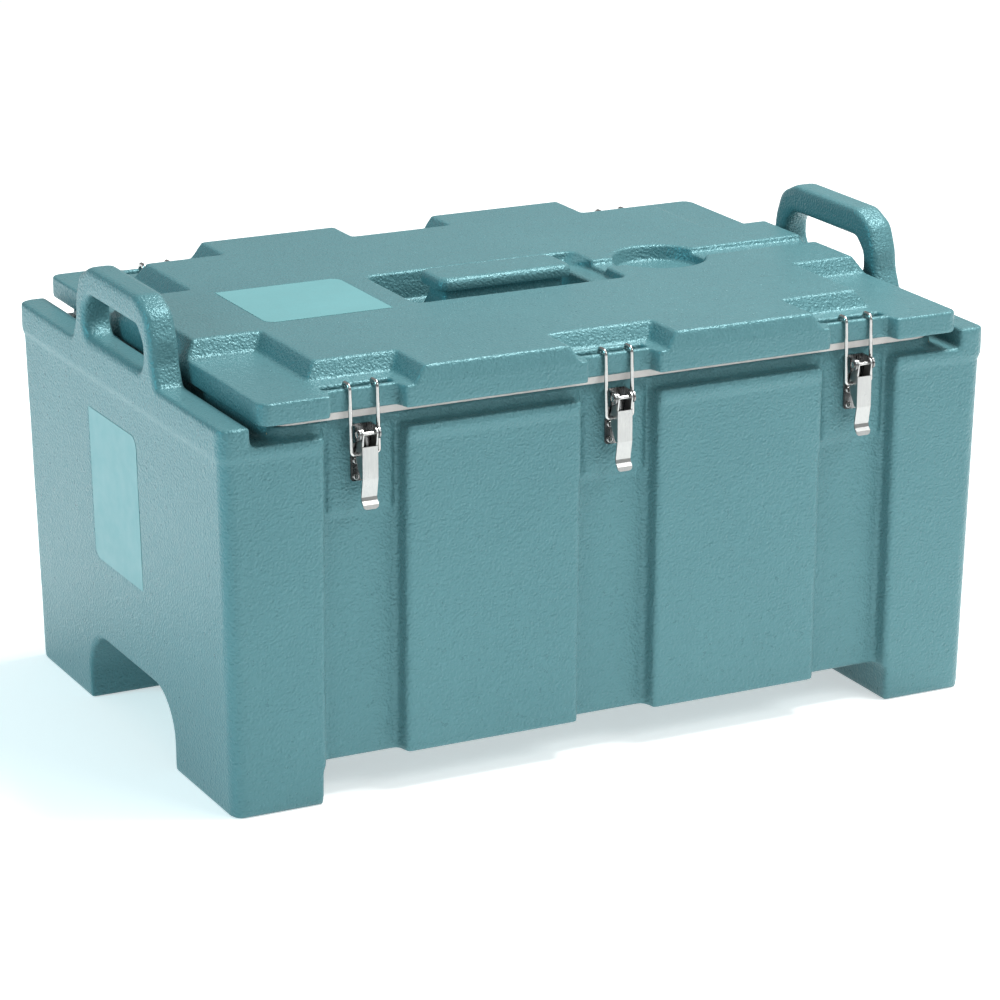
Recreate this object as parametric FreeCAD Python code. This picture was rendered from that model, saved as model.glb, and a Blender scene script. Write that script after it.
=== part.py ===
import FreeCAD, Part
import math
import os
from FreeCAD import Vector

# Insulated food carrier: a foam-filled, double-walled box with a lift-off lid, six draw latches
# and a loop handle at each end. Millimetres, +Z up, X along the length, front at -Y,
# origin on the floor at the middle of the footprint.

# ---- body, outside ----
BASE_X, BASE_Y = 325.0, 209.0        # half length and half width at the floor
CREASE_X, CREASE_Y = 331.3, 213.4    # the same at the crease under the top band
BAND_X, BAND_Y = 332.8, 215.0        # the top band stands slightly proud
CREASE_Z = 284.0
RIM_Z = 293.0                        # front and rear rims
END_TOP_Z = 308.4                    # top of the two end walls
CORNER_R = 11.0
SKIN = 5.0                           # thickness of the plastic skin
END_WALL_IN_X = 308.5                # inner face of the end walls
SEAL_RIM_X, SEAL_RIM_Y, SEAL_RIM_Z = 294.0, 203.0, 302.7

# ---- feet, arches and ribs ----
UNDERSIDE_Z = 30.0
FOOT_INNER_X = 250.5
ARCH_Y, ARCH_Z, ARCH_R = 90.0, 61.0, 40.0
CHANNEL_X = (-215.0, 0.0, 215.0)     # one channel under each latch
CHANNEL_HALF, CHANNEL_FLOOR_HALF, CHANNEL_DEPTH = 34.0, 31.0, 13.0
PAD_HALF, PAD_Y, PAD_Z0, PAD_Z1 = 26.5, 202.5, 229.0, 296.0

# ---- well, sized for one full-size 530 x 325 food pan ----
MOUTH_X, MOUTH_Y, LEDGE_Z = 268.0, 166.0, 286.0
WELL_TOP_X, WELL_TOP_Y = 257.0, 154.0
WELL_LOW_X, WELL_LOW_Y = 250.0, 147.0
WELL_FLOOR_Z = 80.0
WELL_R, MOUTH_R = 40.0, 24.0

# ---- end handles ----
HANDLE_IN_X, HANDLE_OUT_X = 308.5, 332.8
HANDLE_OUTER = ((90, 308.4), (82, 326), (79.5, 343), (71, 363.5), (50, 373))
HANDLE_INNER = ((56, 315), (62.5, 325), (62, 338), (50, 349.5))
HANDLE_OUTER_R, HANDLE_INNER_R, HANDLE_RIM_R = 16.0, 9.0, 4.5

# ---- lid ----
LID_X, LID_Y, LID_R = 302.5, 219.0, 9.0
LID_Z0, TIER_Z, PLATEAU_Z = 308.4, 325.7, 339.2
LID_PLUG_X, LID_PLUG_Y, LID_PLUG_Z = 261.0, 159.0, 294.0
PLATEAU_TOP = ((294.0, 71.0), (237.0, 71.0), (237.0, 168.0), (168.0, 168.0),
               (168.0, 216.5), (46.0, 216.5), (46.0, 178.0))
PLATEAU_LOW = ((302.5, 79.0), (246.0, 79.0), (246.0, 176.0), (177.0, 176.0),
               (177.0, 219.0), (38.0, 219.0), (38.0, 186.0))
STRIKE_Y, STRIKE_BACK_Y, GROOVE_BACK_Y, GROOVE_Z = 207.0, 201.5, 191.5, 318.5
NOTCH_HALF, NOTCH_BACK_HALF, GROOVE_HALF = 32.0, 28.0, 29.0
POCKET_X, POCKET_HALF, POCKET_Z = 21.5, 5.5, 313.0    # deeper ends of the groove
RECESS_X, RECESS_Y, RECESS_Z = 95.0, 48.0, 316.0
BAR_X, BAR_Y, BAR_TOP_Z = 60.0, 22.5, 347.5
BAR_NECK_X, BAR_NECK_Y, BAR_NECK_Z, BAR_CAP_Z = 54.0, 16.5, 330.0, 337.0
BAR_ROUND = 5.0
CUP_X, CUP_R, CUP_Z = 151.0, 39.0, 326.5
DRAIN_HALF, DRAIN_Z = 12.0, 335.0
GASKET_X, GASKET_Y, GASKET_BAND, GASKET_Z0 = 290.0, 205.0, 13.0, 303.0

# ---- smooth panels for labels ----
LABEL_DEPTH = 0.8
LID_LABEL = (-224.0, -117.0, -52.5, 52.5)
END_LABEL_Y = (-39.0, 62.0)
END_LABEL_Z = (131.5, 257.0)
LABEL_R = 9.0

# ---- foam fill plugs ----
FILL_PLUG_R, FILL_FLANGE_R, FILL_FLANGE = 11.0, 15.0, 1.5
FILL_CLEAR = 0.05
BODY_FILL_X = (-110.0, 110.0)
LID_FILL_XY = (0.0, 0.0)

# ---- draw latches, drawn for the front at x = 0 ----
LATCH_X = (-215.0, 0.0, 215.0)
PIN_Y, PIN_Z, PIN_R = -217.0, 292.5, 1.5
BAIL_Y, BAIL_Z, WIRE_R = -211.2, 275.8, 1.55
BAIL_HALF, BAIL_END = 11.3, 5.0
BAIL_TOP_Y, BAIL_TOP_Z, BAIL_HOOK_Y, BAIL_HOOK_Z = -208.8, 328.9, -198.8, 322.6
LEVER_HALF, LEVER_SHEET = 6.4, 1.2
LEVER_TOP_Z, LEVER_BEND_Z, LEVER_TIP_Z = 283.0, 258.0, 234.7
EAR_IN, PLATE_HALF, PLATE_SHEET = 7.3, 8.7, 1.4
PLATE_Z0, PLATE_Z1, PLATE_TAB_Z = 252.6, 297.0, 273.5
SCREW_X, SCREW_Z = (-4.6, 4.6), (268.8, 256.4)
SCREW_HEAD_R, SCREW_HEAD, SCREW_R, SCREW_LENGTH = 2.5, 1.5, 1.5, 8.0
PIN_HOLE_CLEAR = 0.05
BAIL_HOLE_CLEAR = 0.15


def box(x0, x1, y0, y1, z0, z1):
    return Part.makeBox(x1 - x0, y1 - y0, z1 - z0, Vector(x0, y0, z0))


def block(x, y, z0, z1):
    return box(-x, x, -y, y, z0, z1)


def polygon(points):
    corners = [Vector(*p) for p in points]
    return Part.makePolygon(corners + [corners[0]])


def prism(points, direction):
    return Part.Face(polygon(points)).extrude(Vector(*direction))


def prism_yz(points, x0, x1):
    return prism([(x0, y, z) for y, z in points], (x1 - x0, 0, 0))


def prism_xz(points, y0, y1):
    return prism([(x, y0, z) for x, z in points], (0, y1 - y0, 0))


def ruled(low, high):
    return Part.makeLoft([low, high], True, True)


def rounded(x, y, r, z):
    """A closed wire: a rectangle of half sides x and y with corners of radius r at height z."""
    k = r * (1 - math.sqrt(0.5))
    edges = []
    for sx, sy in ((1, -1), (1, 1), (-1, 1), (-1, -1)):
        along_y = sx * sy > 0
        a = Vector(sx * x, sy * (y - r), z)
        b = Vector(sx * (x - r), sy * y, z)
        middle = Vector(sx * (x - k), sy * (y - k), z)
        start, end = (a, b) if along_y else (b, a)
        edges.append((start, middle, end))
    wire = []
    for i, (start, middle, end) in enumerate(edges):
        wire.append(Part.Arc(start, middle, end).toShape())
        wire.append(Part.makeLine(end, edges[(i + 1) % 4][0]))
    return Part.Wire(wire)


def slab(x, y, r, z0, z1):
    return Part.Face(rounded(x, y, r, z0)).extrude(Vector(0, 0, z1 - z0))


def rectangle(x, y, z):
    return polygon([(x, -y, z), (x, y, z), (-x, y, z), (-x, -y, z)])


def cylinder_x(x0, x1, y, z, r):
    return Part.makeCylinder(r, x1 - x0, Vector(x0, y, z), Vector(1, 0, 0))


def fuse(shapes):
    out = shapes[0]
    if len(shapes) > 1:
        out = out.multiFuse(shapes[1:])
    return out.removeSplitter()


def both_sides(shape):
    """The shape and its half turn about Z."""
    other = shape.copy()
    other.rotate(Vector(0, 0, 0), Vector(0, 0, 1), 180)
    return [shape, other]


def face_y(z):
    """Half width of the front face below the crease at height z."""
    return BASE_Y + (CREASE_Y - BASE_Y) * z / CREASE_Z


def face_x(z):
    return BASE_X + (CREASE_X - BASE_X) * z / CREASE_Z


def channel(x, grow):
    """The cutter of one front channel; grow leaves a skin behind it."""
    half, floor, deep = CHANNEL_HALF + grow, CHANNEL_FLOOR_HALF + grow, CHANNEL_DEPTH + grow
    rings = []
    for z in (-10.0, CREASE_Z + 30.0):
        y = face_y(z)
        rings.append(polygon([(x - half - 1, -y - 4, z), (x - floor, -y + deep, z),
                              (x + floor, -y + deep, z), (x + half + 1, -y - 4, z)]))
    return ruled(*rings)


def arch(sign):
    y, z, r = ARCH_Y, ARCH_Z, ARCH_R
    k = r * (1 - math.sqrt(0.5))
    x = sign * (FOOT_INNER_X - 0.5)
    edges = [Part.makeLine(Vector(x, -y, -1), Vector(x, -y, z - r)),
             Part.Arc(Vector(x, -y, z - r), Vector(x, -y + k, z - k),
                      Vector(x, -y + r, z)).toShape(),
             Part.makeLine(Vector(x, -y + r, z), Vector(x, y - r, z)),
             Part.Arc(Vector(x, y - r, z), Vector(x, y - k, z - k),
                      Vector(x, y, z - r)).toShape(),
             Part.makeLine(Vector(x, y, z - r), Vector(x, y, -1)),
             Part.makeLine(Vector(x, y, -1), Vector(x, -y, -1))]
    return Part.Face(Part.Wire(edges)).extrude(Vector(sign * 100, 0, 0))


def fill_plug(x, y, z, thickness):
    """A stepped plug pressed into a skin from below; z is the underside of the skin."""
    stem = Part.makeCylinder(FILL_PLUG_R, thickness, Vector(x, y, z))
    flange = Part.makeCylinder(FILL_FLANGE_R, FILL_FLANGE, Vector(x, y, z - FILL_FLANGE))
    return fuse([stem, flange])


def fill_hole(x, y, z, thickness):
    return Part.makeCylinder(FILL_PLUG_R + FILL_CLEAR, thickness, Vector(x, y, z))


def label_outline(u0, u1, v0, v1, r):
    """A rectangle with two opposite corners rounded, as (u, v) points and arc middles."""
    k = r * (1 - math.sqrt(0.5))
    return ((u0, v1), (u1 - r, v1), (u1 - k, v1 - k), (u1, v1 - r), (u1, v0),
            (u0 + r, v0), (u0 + k, v0 + k), (u0, v0 + r))


def label_face(points):
    p = [Vector(*q) for q in points]
    edges = [Part.makeLine(p[0], p[1]), Part.Arc(p[1], p[2], p[3]).toShape(),
             Part.makeLine(p[3], p[4]), Part.makeLine(p[4], p[5]),
             Part.Arc(p[5], p[6], p[7]).toShape(), Part.makeLine(p[7], p[0])]
    return Part.Face(Part.Wire(edges))


def end_label():
    """The smooth panel let into the left end wall, following the wall's draft."""
    y0, y1 = END_LABEL_Y
    z0, z1 = END_LABEL_Z
    x_low, x_high = -face_x(z0), -face_x(z1)
    slope = (x_high - x_low) / (z1 - z0)
    points = [(x_low + slope * (z - z0), -y, z)
              for y, z in label_outline(-y1, -y0, z0, z1, LABEL_R)]
    return label_face(points).extrude(Vector(LABEL_DEPTH, 0, 0))


def lid_label():
    x0, x1, y0, y1 = LID_LABEL
    points = [(x, y, PLATEAU_Z) for x, y in label_outline(x0, x1, y0, y1, LABEL_R)]
    return label_face(points).extrude(Vector(0, 0, -LABEL_DEPTH))


def body_foam():
    t = SKIN
    bottom = UNDERSIDE_Z + t
    low = ruled(rectangle(face_x(bottom) - t, face_y(bottom) - t, bottom),
                rectangle(CREASE_X - t, CREASE_Y - t, CREASE_Z))
    rim = block(SEAL_RIM_X - t, SEAL_RIM_Y - t, CREASE_Z, SEAL_RIM_Z - t)
    ends = [box(min(s * (END_WALL_IN_X + t), s * (BAND_X - t)),
                max(s * (END_WALL_IN_X + t), s * (BAND_X - t)),
                -BAND_Y + t, BAND_Y - t, CREASE_Z, END_TOP_Z - t) for s in (-1, 1)]
    foam = fuse([low, rim] + ends)
    cuts = [block(MOUTH_X + t, MOUTH_Y + t, LEDGE_Z - t, 400),
            block(WELL_TOP_X + t, WELL_TOP_Y + t, WELL_FLOOR_Z - t, 400)]
    cuts += [box(min(s * 240, s * 400), max(s * 240, s * 400), -ARCH_Y - t, ARCH_Y + t,
                 -1, ARCH_Z + t) for s in (-1, 1)]
    for x in CHANNEL_X:
        cuts += both_sides(channel(x, t))
    return foam.cut(fuse(cuts))


def drafted_block():
    """The outside of the body below the crease, widening upwards."""
    return ruled(rounded(BASE_X, BASE_Y, CORNER_R, 0), rounded(CREASE_X, CREASE_Y, CORNER_R, CREASE_Z))


def feet():
    """Four solid corner feet: front left, front right, rear left, rear right."""
    solid = drafted_block().cut(block(400, 400, UNDERSIDE_Z, 400))
    for cut in (block(FOOT_INNER_X, 400, -1, UNDERSIDE_Z + 1), arch(-1), arch(1)):
        solid = solid.cut(cut)
    return sorted(solid.Solids, key=lambda foot: (foot.CenterOfMass.y > 0, foot.CenterOfMass.x))


def body_shell(foam):
    low = drafted_block()
    band = slab(BAND_X, BAND_Y, CORNER_R, CREASE_Z, END_TOP_Z)
    open_top = box(-END_WALL_IN_X, END_WALL_IN_X, -400, 400, RIM_Z, 400)
    rim = slab(SEAL_RIM_X, SEAL_RIM_Y, 18.0, RIM_Z - 4, SEAL_RIM_Z)
    body = fuse([low, band.cut(open_top), rim])
    cuts = [slab(MOUTH_X, MOUTH_Y, MOUTH_R, LEDGE_Z, 400),
            ruled(rounded(WELL_LOW_X, WELL_LOW_Y, WELL_R, WELL_FLOOR_Z),
                  rounded(WELL_TOP_X, WELL_TOP_Y, WELL_R, LEDGE_Z + 1)),
            block(400, 400, -1, UNDERSIDE_Z), arch(-1), arch(1)]
    for x in CHANNEL_X:
        cuts += both_sides(channel(x, 0))
    for cut in cuts:
        body = body.cut(cut)
    pads = []
    for x in CHANNEL_X:
        pad = box(x - PAD_HALF, x + PAD_HALF, -PAD_Y, -PAD_Y + 6, PAD_Z0, PAD_Z1)
        pads += both_sides(pad)
    body = fuse([body] + pads)
    for x in BODY_FILL_X:
        body = body.cut(fill_hole(x, 0, UNDERSIDE_Z, SKIN))
    return body.cut(end_label()).cut(foam)


def handle(sign):
    """A moulded loop standing on an end wall."""
    def loop(points, x0, x1, radius):
        outline = [(y, z) for y, z in points] + [(-y, z) for y, z in reversed(points)]
        solid = prism_yz(outline, x0, x1)
        corners = [e for e in solid.Edges if abs(e.tangentAt(e.FirstParameter).x) > 0.99
                   and e.Vertexes[0].Z > END_TOP_Z + 1]
        return solid.makeFillet(radius, corners)

    x0, x1 = sign * HANDLE_IN_X, sign * HANDLE_OUT_X
    solid = loop(HANDLE_OUTER, x0, x1, HANDLE_OUTER_R).cut(
        loop(HANDLE_INNER, x0 - sign, x1 + sign, HANDLE_INNER_R))
    rims = [e for e in solid.Edges if abs(e.tangentAt(e.FirstParameter).x) < 0.01
            and not all(abs(v.Z - END_TOP_Z) < 1e-3 for v in e.Vertexes)]
    return solid.makeFillet(HANDLE_RIM_R, rims)


def mirrored(quarter, z):
    """A closed outline from its corners in the first quarter, for both axes."""
    q1 = [(x, y, z) for x, y in quarter]
    q2 = [(-x, y, z) for x, y in reversed(quarter)]
    q3 = [(-x, -y, z) for x, y in quarter]
    q4 = [(x, -y, z) for x, y in reversed(quarter)]
    return polygon(q1 + q2 + q3 + q4)


def latch_notch(x):
    """The notch in the lid's edge in front of a strike, and the groove behind it."""
    notch = prism([(x - NOTCH_HALF, -LID_Y - 3, LID_Z0 - 1), (x + NOTCH_HALF, -LID_Y - 3, LID_Z0 - 1),
                   (x + NOTCH_BACK_HALF, -STRIKE_Y, LID_Z0 - 1),
                   (x - NOTCH_BACK_HALF, -STRIKE_Y, LID_Z0 - 1)], (0, 0, 40))
    groove = box(x - GROOVE_HALF, x + GROOVE_HALF, -STRIKE_BACK_Y, -GROOVE_BACK_Y, GROOVE_Z, 400)
    pockets = [box(x + s * POCKET_X - POCKET_HALF, x + s * POCKET_X + POCKET_HALF,
                   -STRIKE_BACK_Y, -GROOVE_BACK_Y - 2, POCKET_Z, 400) for s in (-1, 1)]
    return fuse([notch, groove] + pockets)


def lid_foam():
    t = SKIN
    inset = [(x + t + 2 if x < PLATEAU_TOP[3][0] else x - t - 2, y - t - 1)
             for x, y in PLATEAU_TOP]
    top = ruled(mirrored(inset, TIER_Z - t), mirrored(inset, PLATEAU_Z - t))
    tier = block(LID_X - t, LID_Y - t, LID_Z0 + t, TIER_Z - t)
    plug = block(LID_PLUG_X - t, LID_PLUG_Y - t, LID_PLUG_Z + t, LID_Z0 + t)
    foam = fuse([plug, tier, top])
    cuts = [block(RECESS_X + t, RECESS_Y + t, RECESS_Z - t, 400),
            box(CUP_X - CUP_R - t, CUP_X + CUP_R + t, -CUP_R - t, CUP_R + t, CUP_Z - t, 400),
            box(0, 400, -DRAIN_HALF - t, DRAIN_HALF + t, DRAIN_Z - t, 400)]
    for x in LATCH_X:
        cuts += both_sides(box(x - NOTCH_HALF - t, x + NOTCH_HALF + t, -400, -GROOVE_BACK_Y + t,
                               LID_Z0, 400))
    return foam.cut(fuse(cuts))


def lid_shell(foam):
    tier = slab(LID_X, LID_Y, LID_R, LID_Z0, TIER_Z)
    plateau = ruled(mirrored(PLATEAU_LOW, TIER_Z), mirrored(PLATEAU_TOP, PLATEAU_Z))
    plug = slab(LID_PLUG_X, LID_PLUG_Y, 18.0, LID_PLUG_Z, LID_Z0 + 1)
    lid = fuse([tier, plateau, plug])
    recess = ruled(rounded(RECESS_X - 5, RECESS_Y - 4, 6, RECESS_Z),
                   rounded(RECESS_X, RECESS_Y, 8, PLATEAU_Z + 0.01))
    cup = Part.makeCone(CUP_R - 3, CUP_R, PLATEAU_Z + 0.01 - CUP_Z, Vector(CUP_X, 0, CUP_Z))
    drain = box(RECESS_X - 8, 400, -DRAIN_HALF, DRAIN_HALF, DRAIN_Z, 400)
    spout = prism_xz([(LID_X - 9, PLATEAU_Z + 1), (LID_X - 9, DRAIN_Z), (LID_X + 1, TIER_Z),
                      (LID_X + 1, PLATEAU_Z + 1)], -DRAIN_HALF, DRAIN_HALF)
    cuts = [recess, cup, drain, spout]
    for x in LATCH_X:
        cuts += both_sides(latch_notch(x))
    for cut in cuts:
        lid = lid.cut(cut)
    lid = lid.cut(fill_hole(*LID_FILL_XY, LID_PLUG_Z, SKIN))
    return lid.cut(lid_label()).cut(foam)


def grip_bar():
    """The mushroom-shaped bar standing in the lid's recess."""
    waist = ruled(rounded(BAR_X, BAR_Y, 9, RECESS_Z),
                  rounded(BAR_NECK_X, BAR_NECK_Y, 6, BAR_NECK_Z))
    neck = slab(BAR_NECK_X, BAR_NECK_Y, 6, BAR_NECK_Z, BAR_CAP_Z)
    cap = slab(BAR_X, BAR_Y, 10, BAR_CAP_Z, BAR_TOP_Z)
    top = [e for e in cap.Edges if all(abs(v.Z - BAR_TOP_Z) < 1e-3 for v in e.Vertexes)]
    return fuse([waist, neck, cap.makeFillet(BAR_ROUND, top)])


def gasket():
    outer = slab(GASKET_X, GASKET_Y, 20.0, GASKET_Z0, LID_Z0)
    inner = slab(GASKET_X - GASKET_BAND, GASKET_Y - GASKET_BAND, 10.0, GASKET_Z0 - 1, LID_Z0 + 1)
    return outer.cut(inner)


def bent_wire(points, radii, wire_r):
    """A round wire along points, each inner corner rounded to its own radius."""
    p = [Vector(*q) for q in points]
    edges, start = [], p[0]
    for i, r in enumerate(radii, 1):
        back = (p[i - 1] - p[i]).normalize()
        on = (p[i + 1] - p[i]).normalize()
        half = back.getAngle(on) / 2
        reach = r / math.tan(half)
        a, b = p[i] + back * reach, p[i] + on * reach
        middle = p[i] + (back + on).normalize() * (r / math.sin(half) - r)
        edges += [Part.makeLine(start, a), Part.Arc(a, middle, b).toShape()]
        start = b
    edges.append(Part.makeLine(start, p[-1]))
    circle = Part.Wire(Part.makeCircle(wire_r, p[0], p[1] - p[0]))
    return Part.Wire(edges).makePipeShell([circle], True, True)


def bail():
    def leg(s):
        return [(s * BAIL_END, BAIL_Y, BAIL_Z), (s * BAIL_HALF, BAIL_Y, BAIL_Z),
                (s * BAIL_HALF, BAIL_TOP_Y, BAIL_TOP_Z), (s * BAIL_HALF, BAIL_HOOK_Y, BAIL_TOP_Z),
                (s * BAIL_HALF, BAIL_HOOK_Y, BAIL_HOOK_Z)]

    radii = [2.4, 4.0, 2.4, 2.4]
    return bent_wire(leg(-1) + leg(1)[::-1], radii + radii[::-1], WIRE_R)


def lever():
    half, sheet = LEVER_HALF, LEVER_SHEET
    blade = prism_yz([(-220.3, LEVER_TOP_Z), (-220.3, LEVER_BEND_Z), (-217.6, 243.5),
                      (-218.5, 240.6), (-220.7, 238.2), (-221.1, LEVER_TIP_Z),
                      (-219.9, LEVER_TIP_Z), (-219.5, 237.7), (-217.4, 240.0), (-216.4, 243.4),
                      (-219.1, LEVER_BEND_Z + 0.2), (-219.1, LEVER_TOP_Z)], -half, half)
    tip = [e for e in blade.Edges if abs(e.tangentAt(e.FirstParameter).x) < 0.01
           and abs(abs(e.Vertexes[0].X) - half) < 0.01
           and all(abs(v.Z - LEVER_TIP_Z) < 0.01 for v in e.Vertexes)]
    blade = blade.makeFillet(3.0, tip)
    parts = [blade]
    for s in (-1, 1):
        x0, x1 = sorted((s * half, s * (half - sheet)))
        parts.append(prism_yz([(-219.3, LEVER_TOP_Z), (-219.3, LEVER_BEND_Z), (-216.5, LEVER_BEND_Z),
                               (-208.4, 270.5), (-207.9, 277.5), (PIN_Y + 4.2, PIN_Z),
                               (PIN_Y - 4.2, PIN_Z), (-219.8, LEVER_TOP_Z + 1.0)], x0, x1))
        parts.append(cylinder_x(x0, x1, PIN_Y, PIN_Z, 4.2))
    solid = fuse(parts)
    solid = solid.cut(cylinder_x(-20, 20, PIN_Y, PIN_Z, PIN_R + PIN_HOLE_CLEAR))
    return solid.cut(cylinder_x(-20, 20, BAIL_Y, BAIL_Z, WIRE_R + BAIL_HOLE_CLEAR))


def plate():
    back = -PAD_Y
    base = box(-PLATE_HALF, PLATE_HALF, back - PLATE_SHEET, back, PLATE_Z0, PLATE_Z1)
    low = [e for e in base.Edges if abs(e.tangentAt(e.FirstParameter).y) > 0.99
           and e.Vertexes[0].Z < PLATE_Z0 + 0.01]
    parts = [base.makeFillet(2.5, low)]
    for s in (-1, 1):
        x0, x1 = sorted((s * PLATE_HALF, s * EAR_IN))
        parts.append(prism_yz([(back, PLATE_Z1), (PIN_Y, PLATE_Z1), (PIN_Y - 3.2, PIN_Z + 3.2),
                               (PIN_Y - 4.5, PIN_Z), (PIN_Y - 2.4, PIN_Z - 3.9), (-208.5, 283.5),
                               (-206.0, PLATE_TAB_Z), (back, PLATE_TAB_Z)], x0, x1))
        parts.append(cylinder_x(x0, x1, PIN_Y, PIN_Z, 4.5))
    solid = fuse(parts)
    solid = solid.cut(cylinder_x(-20, 20, PIN_Y, PIN_Z, PIN_R + 0.02))
    for x, z in screw_places():
        solid = solid.cut(Part.makeCylinder(SCREW_R + 0.1, 20, Vector(x, back + 5, z),
                                            Vector(0, -1, 0)))
    return solid


def pivot_pin():
    """A riveted pin through both ears, with a low head outside each one."""
    head = 0.9
    parts = [cylinder_x(-PLATE_HALF, PLATE_HALF, PIN_Y, PIN_Z, PIN_R)]
    for x0 in (-PLATE_HALF - head, PLATE_HALF):
        parts.append(cylinder_x(x0, x0 + head, PIN_Y, PIN_Z, 2.4))
    return fuse(parts)


def screw_places():
    return [(x, z) for x in SCREW_X for z in SCREW_Z]


def screws():
    """Four pan-head screws as separate solids; the drive is a cross slot."""
    solids = []
    front = -PAD_Y - PLATE_SHEET
    face = front - SCREW_HEAD
    for x, z in screw_places():
        head = Part.makeCylinder(SCREW_HEAD_R, SCREW_HEAD, Vector(x, front, z), Vector(0, -1, 0))
        rim = [e for e in head.Edges if abs(e.Vertexes[0].Y - face) < 0.01]
        head = head.makeFillet(0.8, rim)
        shank = Part.makeCylinder(SCREW_R, SCREW_LENGTH, Vector(x, front, z), Vector(0, 1, 0))
        slot = fuse([box(x - 1.4, x + 1.4, face - 1, face + 0.7, z - 0.3, z + 0.3),
                     box(x - 0.3, x + 0.3, face - 1, face + 0.7, z - 1.4, z + 1.4)])
        solids.append(fuse([head, shank]).cut(slot))
    return Part.makeCompound(solids)


def screw_holes(latch_x):
    holes = [Part.makeCylinder(SCREW_R, SCREW_LENGTH - PLATE_SHEET, Vector(latch_x + x, -PAD_Y, z),
                               Vector(0, 1, 0)) for x, z in screw_places()]
    return Part.makeCompound(holes)


os.makedirs("parts", exist_ok=True)


def save(shape, node):
    shape.exportStep("parts/" + node + ".step")


foam = body_foam()
shell = body_shell(foam)
for x in CHANNEL_X:
    for holes in both_sides(screw_holes(x)):
        shell = shell.cut(holes)
save(shell, "body_shell")
save(foam, "body_foam_core")
save(Part.makeCompound([fill_plug(x, 0, UNDERSIDE_Z, SKIN) for x in BODY_FILL_X]), "body_fill_plugs")
save(end_label(), "end_label_panel")
for foot, name in zip(feet(), ("front_left", "front_right", "rear_left", "rear_right")):
    save(foot, "foot_" + name)
save(handle(-1), "handle_left")
save(handle(1), "handle_right")

lid_core = lid_foam()
save(lid_shell(lid_core), "lid_shell")
save(lid_core, "lid_foam_core")
save(grip_bar(), "lid_grip_bar")
save(fill_plug(*LID_FILL_XY, LID_PLUG_Z, SKIN), "lid_fill_plug")
save(lid_label(), "lid_label_panel")
save(gasket(), "lid_gasket")

for piece, make in (("plate", plate), ("pin", pivot_pin), ("screws", screws),
                    ("lever", lever), ("bail", bail)):
    one = make()
    for number, x in enumerate(LATCH_X, 1):
        front = one.copy()
        front.translate(Vector(x, 0, 0))
        front, rear = both_sides(front)
        save(front, "latch_front_%d_%s" % (number, piece))
        save(rear, "latch_rear_%d_%s" % (number, piece))
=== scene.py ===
import math

import bmesh
import bpy
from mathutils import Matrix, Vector
from mathutils.bvhtree import BVHTree


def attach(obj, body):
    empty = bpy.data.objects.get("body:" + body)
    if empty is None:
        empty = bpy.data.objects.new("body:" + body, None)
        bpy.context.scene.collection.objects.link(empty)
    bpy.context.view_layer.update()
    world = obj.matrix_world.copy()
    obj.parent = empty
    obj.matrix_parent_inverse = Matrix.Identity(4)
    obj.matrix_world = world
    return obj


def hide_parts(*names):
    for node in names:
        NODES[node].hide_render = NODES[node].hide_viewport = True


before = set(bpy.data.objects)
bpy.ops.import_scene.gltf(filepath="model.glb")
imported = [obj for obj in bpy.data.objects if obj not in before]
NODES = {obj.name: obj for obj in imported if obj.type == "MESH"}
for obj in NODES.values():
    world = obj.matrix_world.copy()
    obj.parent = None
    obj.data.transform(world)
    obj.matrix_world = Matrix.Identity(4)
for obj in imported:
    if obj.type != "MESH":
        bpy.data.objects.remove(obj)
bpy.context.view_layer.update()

MM = 0.001

SIDES = ("front", "rear")
LATCHES = ["latch_%s_%d" % (side, n) for side in SIDES for n in (1, 2, 3)]
FEET = ["foot_%s_%s" % (end, side) for end in ("front", "rear") for side in ("left", "right")]

# the camera, solved from the photograph: place in metres, turn in degrees, lens in mm
CAMERA_PLACE = (-1.3555, -2.6955, 1.1010)
CAMERA_TURN = (72.49, 0.0, -26.76)
CAMERA_LENS, CAMERA_SENSOR = 138.1, 36.0
CAMERA_NEAR, CAMERA_FAR = 0.05, 50.0

# the moulded skins: voxel size, smoothing steps, and how near a vertex snaps to the CAD surface
BODY_VOXEL, LID_VOXEL = 1.7 * MM, 1.2 * MM
BODY_SMOOTH, LID_SMOOTH = 16, 13
SNAP_NEAR, SNAP_FAR = 0.05 * MM, 0.25 * MM
SHELL_FACES = 190000
CORE_GAP, CORE_FACING = 0.2 * MM, 0.99     # a shell's face that lies on the foam

# the step at the right end of the grip recess, in mm
STEP_X, STEP_Y = (73, 98), (-49, 52)
STEP_LOW_Z, STEP_Z, LID_TOP_Z = 310, 331, 338.6
RAMP_BACK_Y, RAMP_FRONT_Y = 50, 10

# the latches' edges and shading
SHARP_ANGLE = math.radians(38)
SHEET_BEVEL = 0.3 * MM

# floor and lights: name, place, size, watts, colour
FLOOR_HALF, SKY_STRENGTH = 12.0, 0.36
LIGHT_AIM = (0.0, 0.0, 0.2)
LIGHTS = (("key_left", (-2.8, 0.2, 1.4), (1.0, 1.2), 38, (0.30, 0.88, 1.0)),
          ("overhead", (0.9, -0.2, 2.4), (1.4, 0.8), 90, (1.0, 1.0, 0.98)),
          ("front_high", (1.2, -2.0, 2.0), (1.6, 1.0), 24, (0.92, 1.0, 1.0)))


# ---------------------------------------------------------------- camera

def make_camera():
    data = bpy.data.cameras.new("camera")
    data.lens = CAMERA_LENS
    data.sensor_width = CAMERA_SENSOR
    data.clip_start, data.clip_end = CAMERA_NEAR, CAMERA_FAR
    camera = bpy.data.objects.new("camera", data)
    camera.location = CAMERA_PLACE
    camera.rotation_euler = [math.radians(a) for a in CAMERA_TURN]
    bpy.context.scene.collection.objects.link(camera)
    bpy.context.scene.camera = camera


# ---------------------------------------------------------------- node trees

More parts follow.
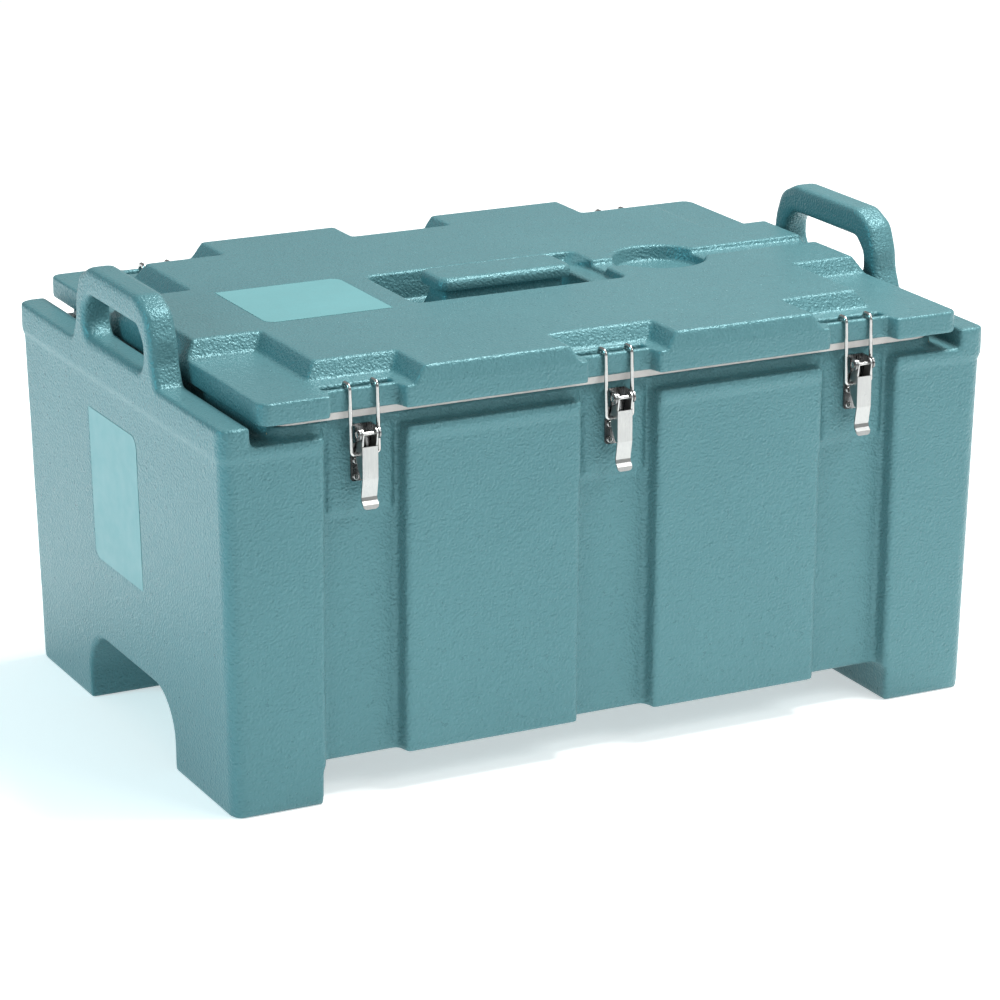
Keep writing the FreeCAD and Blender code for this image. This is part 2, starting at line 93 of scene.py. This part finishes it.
class Tree:
    """A short way to write a material's nodes."""

    def __init__(self, name):
        self.material = bpy.data.materials.new(name)
        self.material.use_nodes = True
        self.nodes = self.material.node_tree.nodes
        self.links = self.material.node_tree.links
        self.shader = self.nodes["Principled BSDF"]

    def add(self, kind, inputs=(), **settings):
        node = self.nodes.new(kind)
        for key, value in settings.items():
            setattr(node, key, value)
        for key, value in dict(inputs).items():
            self.put(node.inputs[key], value)
        return node

    def put(self, socket, value):
        if isinstance(value, bpy.types.NodeSocket):
            self.links.new(value, socket)
        else:
            socket.default_value = value

    def place(self):
        return self.add("ShaderNodeNewGeometry").outputs["Position"]

    def noise(self, vector, scale, detail=2.0, rough=0.5):
        node = self.add("ShaderNodeTexNoise", {"Vector": vector, "Scale": scale,
                                               "Detail": detail, "Roughness": rough})
        return node.outputs["Fac"]

    def remap(self, value, low, high, to_low, to_high):
        node = self.add("ShaderNodeMapRange", {"Value": value, "From Min": low, "From Max": high,
                                               "To Min": to_low, "To Max": to_high})
        return node.outputs["Result"]

    def math(self, operation, a, b=0.0):
        node = self.add("ShaderNodeMath", operation=operation)
        self.put(node.inputs[0], a)
        self.put(node.inputs[1], b)
        return node.outputs[0]

    def mix(self, factor, a, b, blend="MIX"):
        node = self.add("ShaderNodeMix", data_type="RGBA", blend_type=blend)
        self.put(node.inputs[0], factor)
        self.put(node.inputs[6], a)
        self.put(node.inputs[7], b)
        return node.outputs[2]

    def ramp(self, value, stops):
        node = self.add("ShaderNodeValToRGB", {"Fac": value})
        elements = node.color_ramp.elements
        while len(elements) < len(stops):
            elements.new(0.5)
        for element, (at, colour) in zip(elements, stops):
            element.position = at
            element.color = colour
        return node.outputs["Color"]

    def bump(self, height, strength, distance, normal=None):
        inputs = {"Height": height, "Strength": strength, "Distance": distance}
        if normal is not None:
            inputs["Normal"] = normal
        return self.add("ShaderNodeBump", inputs).outputs["Normal"]

    def finish(self, **inputs):
        for key, value in inputs.items():
            self.put(self.shader.inputs[key.replace("_", " ")], value)
        return self.material


def pebbled_plastic():
    """Moulded polyethylene with a fine orange-peel grain and slightly uneven colour."""
    t = Tree("teal_pebbled_plastic")
    at = t.place()
    cloudy = t.noise(at, 9.0, 3.0, 0.55)
    mottled = t.noise(at, 160.0, 3.0, 0.6)
    colour = t.ramp(cloudy, [(0.3, (0.070, 0.168, 0.186, 1)), (0.7, (0.076, 0.180, 0.198, 1))])
    speck = t.remap(mottled, 0.3, 0.7, 0.97, 1.03)
    colour = t.mix(1.0, colour, t.add("ShaderNodeCombineColor", {
        "Red": speck, "Green": speck, "Blue": speck}).outputs["Color"], "MULTIPLY")
    grain = t.add("ShaderNodeTexVoronoi", {"Vector": at, "Scale": 500.0, "Randomness": 1.0},
                  feature="SMOOTH_F1").outputs["Distance"]
    fine = t.noise(at, 560.0, 2.0, 0.6)
    ripple = t.noise(at, 34.0, 2.0, 0.5)
    normal = t.bump(ripple, 0.15, 0.0015)
    normal = t.bump(grain, 0.6, 0.0010, normal)
    normal = t.bump(fine, 0.6, 0.0010, normal)
    rough = t.remap(mottled, 0.3, 0.7, 0.27, 0.33)
    return t.finish(Base_Color=colour, Roughness=rough, Normal=normal, IOR=1.5,
                    Specular_IOR_Level=0.62, Specular_Tint=(0.50, 0.92, 1.0, 1))


def smooth_plastic():
    """The flat panels: the same plastic, paler and without the grain."""
    t = Tree("smooth_label_plastic")
    at = t.place()
    colour = t.ramp(t.noise(at, 14.0, 3.0, 0.6),
                    [(0.3, (0.118, 0.288, 0.305, 1)), (0.7, (0.127, 0.304, 0.322, 1))])
    normal = t.bump(t.noise(at, 60.0, 2.0, 0.5), 0.12, 0.0006)
    return t.finish(Base_Color=colour, Roughness=t.remap(t.noise(at, 90.0), 0.3, 0.7, 0.33, 0.42),
                    Normal=normal, IOR=1.5)


def steel(name, dark, light, rough_low, rough_high):
    """Rolled stainless sheet: fine brush lines along Z, a little smudged."""
    t = Tree(name)
    at = t.place()
    along = t.add("ShaderNodeMapping", {"Vector": at, "Scale": (1.0, 1.0, 0.06)})
    lines = t.noise(along.outputs["Vector"], 1500.0, 2.0, 0.6)
    smudge = t.noise(at, 70.0, 3.0, 0.6)
    colour = t.ramp(lines, [(0.25, dark), (0.75, light)])
    half = (rough_high - rough_low) / 2
    rough = t.math("ADD", t.remap(lines, 0.3, 0.7, rough_low, rough_low + half),
                   t.remap(smudge, 0.3, 0.7, 0.0, half))
    return t.finish(Base_Color=colour, Roughness=rough, Metallic=1.0,
                    Normal=t.bump(lines, 0.08, 0.0002))


def wire_steel():
    t = Tree("polished_wire")
    at = t.place()
    smudge = t.noise(at, 260.0, 3.0, 0.6)
    colour = t.ramp(smudge, [(0.3, (0.42, 0.41, 0.40, 1)), (0.7, (0.52, 0.51, 0.50, 1))])
    return t.finish(Base_Color=colour, Roughness=t.remap(smudge, 0.3, 0.7, 0.10, 0.20),
                    Metallic=1.0, Normal=t.bump(smudge, 0.1, 0.0002))


def gasket_rubber():
    t = Tree("light_gasket_rubber")
    at = t.place()
    dust = t.noise(at, 120.0, 3.0, 0.6)
    colour = t.ramp(dust, [(0.3, (0.50, 0.47, 0.455, 1)), (0.7, (0.59, 0.56, 0.54, 1))])
    return t.finish(Base_Color=colour, Roughness=t.remap(dust, 0.3, 0.7, 0.45, 0.6),
                    Normal=t.bump(t.noise(at, 700.0), 0.15, 0.0003))


def foam():
    t = Tree("rigid_foam")
    at = t.place()
    cells = t.add("ShaderNodeTexVoronoi", {"Vector": at, "Scale": 900.0}).outputs["Distance"]
    colour = t.ramp(cells, [(0.1, (0.62, 0.50, 0.26, 1)), (0.8, (0.80, 0.69, 0.42, 1))])
    return t.finish(Base_Color=colour, Roughness=0.85, Normal=t.bump(cells, 0.4, 0.0005))


# ---------------------------------------------------------------- shells

def without_core(shell, core):
    """A bmesh of a shell without the walls of its foam cavity, with the holes closed."""
    bm = bmesh.new()
    bm.from_mesh(NODES[shell].data)
    bmesh.ops.remove_doubles(bm, verts=bm.verts, dist=1e-6)
    tree = BVHTree.FromPolygons([v.co for v in NODES[core].data.vertices],
                                [p.vertices for p in NODES[core].data.polygons])
    inner = []
    for face in bm.faces:
        middle = face.calc_center_median()
        near, normal, _, _ = tree.find_nearest(middle, CORE_GAP)
        if near is not None and abs(normal.dot(face.normal)) > CORE_FACING:
            inner.append(face)
    bmesh.ops.delete(bm, geom=inner, context="FACES")
    bmesh.ops.holes_fill(bm, edges=[e for e in bm.edges if e.is_boundary], sides=0)
    return bm


def add_hull(bm, points):
    """Adds a convex solid through points given in millimetres."""
    verts = [bm.verts.new(Vector(point) * MM) for point in points]
    bmesh.ops.convex_hull(bm, input=verts)


def add_recess_step(bm):
    """The step at the recess's right end, with a ramp up to the lid's top."""
    x0, x1 = STEP_X
    foot = STEP_Z - 2
    add_hull(bm, [(x, y, STEP_LOW_Z) for x in STEP_X for y in STEP_Y]
             + [(x, y, STEP_Z) for x in (x0 + 3, x1) for y in STEP_Y])
    add_hull(bm, [(x0 + 9, RAMP_BACK_Y - 4, foot), (x1, RAMP_BACK_Y, foot), (x1, RAMP_FRONT_Y, foot)]
             + [(x, y, LID_TOP_Z) for y in (RAMP_BACK_Y, RAMP_FRONT_Y + 4) for x in (x1 - 2, x1)])


def add_node(bm, node):
    bm.from_mesh(NODES[node].data)


def shell_piece(name, bm, voxel, smoothing):
    """One moulded skin: the joined solids remeshed and softened, with the flats kept flat."""
    bmesh.ops.triangulate(bm, faces=bm.faces)
    tree = BVHTree.FromBMesh(bm)
    mesh = bpy.data.meshes.new(name)
    bm.to_mesh(mesh)
    bm.free()
    ob = bpy.data.objects.new(name, mesh)
    bpy.context.scene.collection.objects.link(ob)
    remesh = ob.modifiers.new("remesh", "REMESH")
    remesh.mode = "VOXEL"
    remesh.voxel_size = voxel
    remesh.adaptivity = 0.0
    soft = ob.modifiers.new("soften", "SMOOTH")
    soft.factor, soft.iterations = 0.5, smoothing
    settle(ob)
    flatten(ob, tree)
    thin = ob.modifiers.new("thin", "DECIMATE")
    thin.ratio = min(1.0, SHELL_FACES / (2 * len(ob.data.polygons)))
    settle(ob)
    ob.data.polygons.foreach_set("use_smooth", [True] * len(ob.data.polygons))
    return ob


def flatten(ob, tree):
    """Lays vertices that are still close to the solid back onto it; those at rounded edges stay."""
    for vertex in ob.data.vertices:
        near, _, _, gap = tree.find_nearest(vertex.co)
        if near is not None and gap < SNAP_FAR:
            share = min(1.0, max(0.0, (SNAP_FAR - gap) / (SNAP_FAR - SNAP_NEAR)))
            vertex.co = vertex.co.lerp(near, share * share * (3 - 2 * share))


def settle(ob):
    """Applies the modifiers to the mesh."""
    graph = bpy.context.evaluated_depsgraph_get()
    mesh = bpy.data.meshes.new_from_object(ob.evaluated_get(graph))
    ob.modifiers.clear()
    old = ob.data
    ob.data = mesh
    mesh.name = ob.name
    bpy.data.meshes.remove(old)


def smoothing_group():
    """Smooth shading that stays sharp where faces meet at more than SHARP_ANGLE."""
    group = bpy.data.node_groups.new("smooth_by_angle", "GeometryNodeTree")
    for way in ("INPUT", "OUTPUT"):
        group.interface.new_socket("Geometry", in_out=way, socket_type="NodeSocketGeometry")
    source = group.nodes.new("NodeGroupInput")
    target = group.nodes.new("NodeGroupOutput")
    faces = group.nodes.new("GeometryNodeSetShadeSmooth")
    edges = group.nodes.new("GeometryNodeSetShadeSmooth")
    edges.domain = "EDGE"
    angle = group.nodes.new("GeometryNodeInputMeshEdgeAngle")
    limit = group.nodes.new("FunctionNodeCompare")
    limit.operation = "LESS_THAN"
    limit.inputs[1].default_value = SHARP_ANGLE
    group.links.new(source.outputs[0], faces.inputs["Geometry"])
    group.links.new(faces.outputs[0], edges.inputs["Geometry"])
    group.links.new(angle.outputs["Unsigned Angle"], limit.inputs[0])
    group.links.new(limit.outputs[0], edges.inputs["Shade Smooth"])
    group.links.new(edges.outputs[0], target.inputs[0])
    return group


def shade(ob, group, edge=0.0):
    """Softens a CAD node's look: a small bevel on its edges, and smooth shading on its curves."""
    if edge:
        bevel = ob.modifiers.new("edge", "BEVEL")
        bevel.width, bevel.segments = edge, 2
        bevel.limit_method, bevel.angle_limit = "ANGLE", SHARP_ANGLE
    ob.modifiers.new("shade", "NODES").node_group = group


def paint(ob, material):
    ob.data.materials.clear()
    ob.data.materials.append(material)


def make_shells(plastic):
    bm = without_core("body_shell", "body_foam_core")
    joined = ["handle_left", "handle_right"] + FEET
    for node in joined:
        add_node(bm, node)
    body = shell_piece("body_skin", bm, BODY_VOXEL, BODY_SMOOTH)
    paint(body, plastic)
    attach(body, "body")
    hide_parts("body_shell", *joined)
    bm = without_core("lid_shell", "lid_foam_core")
    add_node(bm, "lid_grip_bar")
    add_recess_step(bm)
    lid = shell_piece("lid_skin", bm, LID_VOXEL, LID_SMOOTH)
    paint(lid, plastic)
    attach(lid, "lid")
    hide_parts("lid_shell", "lid_grip_bar")


# ---------------------------------------------------------------- stage

def make_stage():
    far = FLOOR_HALF
    mesh = bpy.data.meshes.new("floor")
    mesh.from_pydata([(-far, -far, 0), (far, -far, 0), (far, far, 0), (-far, far, 0)],
                     [], [(0, 1, 2, 3)])
    floor = bpy.data.objects.new("floor", mesh)
    bpy.context.scene.collection.objects.link(floor)
    t = Tree("floor_white")
    t.finish(Base_Color=(0.92, 0.92, 0.92, 1), Roughness=0.9, Emission_Color=(1, 1, 1, 1),
             Emission_Strength=0.48)
    paint(floor, t.material)
    world = bpy.data.worlds.new("studio")
    bpy.context.scene.world = world
    world.use_nodes = True
    sky = world.node_tree.nodes["Background"].inputs
    sky["Color"].default_value = (1.0, 1.0, 1.0, 1)
    sky["Strength"].default_value = SKY_STRENGTH


def area_light(name, place, size, power, colour):
    data = bpy.data.lights.new(name, "AREA")
    data.shape = "RECTANGLE"
    data.size, data.size_y = size
    data.energy = power
    data.color = colour
    light = bpy.data.objects.new(name, data)
    light.location = place
    towards = Vector(LIGHT_AIM) - Vector(place)
    light.rotation_euler = towards.to_track_quat("-Z", "Y").to_euler()
    bpy.context.scene.collection.objects.link(light)


make_camera()
plastic = pebbled_plastic()
smooth = smooth_plastic()
# the plate's steel is painted darker than the lever's: a painted dark reflection, standing in for
# the shade that the stainless plate mirrors
plate_steel_painted_dark_reflection = steel("plate_steel_painted_dark_reflection", (0.17, 0.17, 0.17, 1), (0.27, 0.27, 0.27, 1), 0.18, 0.34)
lever_steel = steel("lever_steel", (0.36, 0.36, 0.36, 1), (0.43, 0.43, 0.42, 1), 0.24, 0.40)
wire = wire_steel()
make_shells(plastic)
for node in ("body_fill_plugs", "lid_fill_plug"):
    paint(NODES[node], plastic)
for node in ("end_label_panel", "lid_label_panel"):
    paint(NODES[node], smooth)
paint(NODES["lid_gasket"], gasket_rubber())
inner_foam = foam()
for node in ("body_foam_core", "lid_foam_core"):
    paint(NODES[node], inner_foam)
smooth_curves = smoothing_group()
for latch in LATCHES:
    for part, material, edge in (("plate", plate_steel_painted_dark_reflection, SHEET_BEVEL),
                                 ("lever", lever_steel, SHEET_BEVEL), ("pin", wire, 0.0),
                                 ("screws", wire, 0.0), ("bail", wire, 0.0)):
        node = NODES["%s_%s" % (latch, part)]
        paint(node, material)
        shade(node, smooth_curves, edge)
make_stage()
for light in LIGHTS:
    area_light(*light)

scene = bpy.context.scene
scene.view_settings.view_transform = "Standard"
